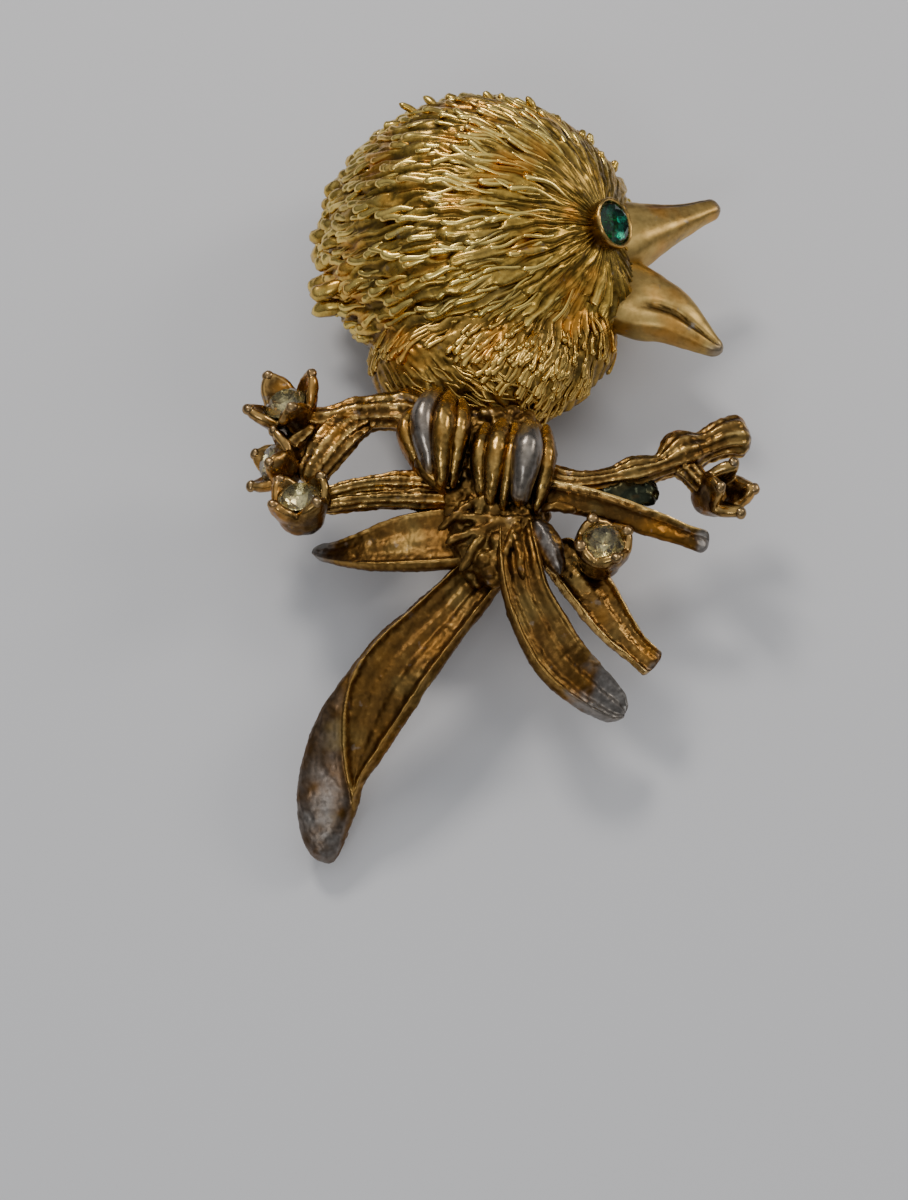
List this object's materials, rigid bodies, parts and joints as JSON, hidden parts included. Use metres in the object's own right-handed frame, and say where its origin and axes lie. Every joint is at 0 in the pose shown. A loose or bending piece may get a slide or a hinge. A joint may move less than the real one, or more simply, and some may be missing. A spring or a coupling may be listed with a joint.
{
  "type": "brooch",
  "caption": "Gold-plated brooch of an open-beaked baby bird perched on a stone-set branch spray, with a hinged pin and turning catch on its back.",
  "frame": {"origin": "middle of the brooch's box on the surface that it lies on, back down", "axes": "+Z out of the brooch's face, +Y up the brooch from leaf tip to head, +X towards the beak's side"},
  "size_m": [0.0256, 0.0422, 0.0125],
  "materials": {
    "bird_gold": "gold plate over a fur-textured casting, dark in the recesses",
    "beak_gold": "smooth satin gold plate, worn grey at the tips",
    "polished_gold": "polished gold plate with grey worn spots",
    "spray_gold": "antiqued gold plate, darker than the bird, worn grey at the leaf tips",
    "cup_gold": "antiqued gold plate with bright prong heads",
    "finding_brass": "stamped and rolled brass, lightly brushed",
    "pin_steel": "drawn spring wire, polished to a point",
    "green_glass": "faceted, foil-backed emerald green",
    "clear_glass": "faceted, clear with a yellowed foil back"
  },
  "bodies": {
    "root": {"bird_head": "bird_gold", "bird_body": "bird_gold", "upper_beak": "beak_gold", "lower_beak": "beak_gold", "left_foot": "polished_gold", "right_foot": "polished_gold", "eye_bezel": "polished_gold", "eye_stone": "green_glass", "hub": "spray_gold", "upper_left_twig": "spray_gold", "lower_left_twig": "spray_gold", "right_twig": "spray_gold", "left_leaf": "spray_gold", "long_leaf": "spray_gold", "centre_leaf": "spray_gold", "lower_right_leaf": "spray_gold", "right_leaf": "spray_gold", "small_leaf": "polished_gold", "cup_upper_left": "cup_gold", "cup_outer_left": "cup_gold", "cup_lower_left": "cup_gold", "cup_right": "cup_gold", "cup_far_right": "cup_gold", "stone_upper_left": "clear_glass", "stone_outer_left": "clear_glass", "stone_lower_left": "clear_glass", "stone_right": "clear_glass", "pin_bar": "finding_brass", "hinge_rivet": "finding_brass", "catch_body": "finding_brass"},
    "pin": {"pin_stem": "pin_steel"},
    "rotor": {"catch_rotor": "finding_brass"}
  },
  "joints": [
    {"name": "pin_hinge", "type": "hinge", "parent": "root", "child": "pin", "pos_m": [0.0055, 0.011, 0.0013], "axis": [0, -1, 0], "range_deg": [0, 85]},
    {"name": "catch_turn", "type": "hinge", "parent": "root", "child": "rotor", "pos_m": [-0.0071, 0.011, 0.0013], "axis": [1, 0, 0], "range_deg": [0, 90]}
  ]
}
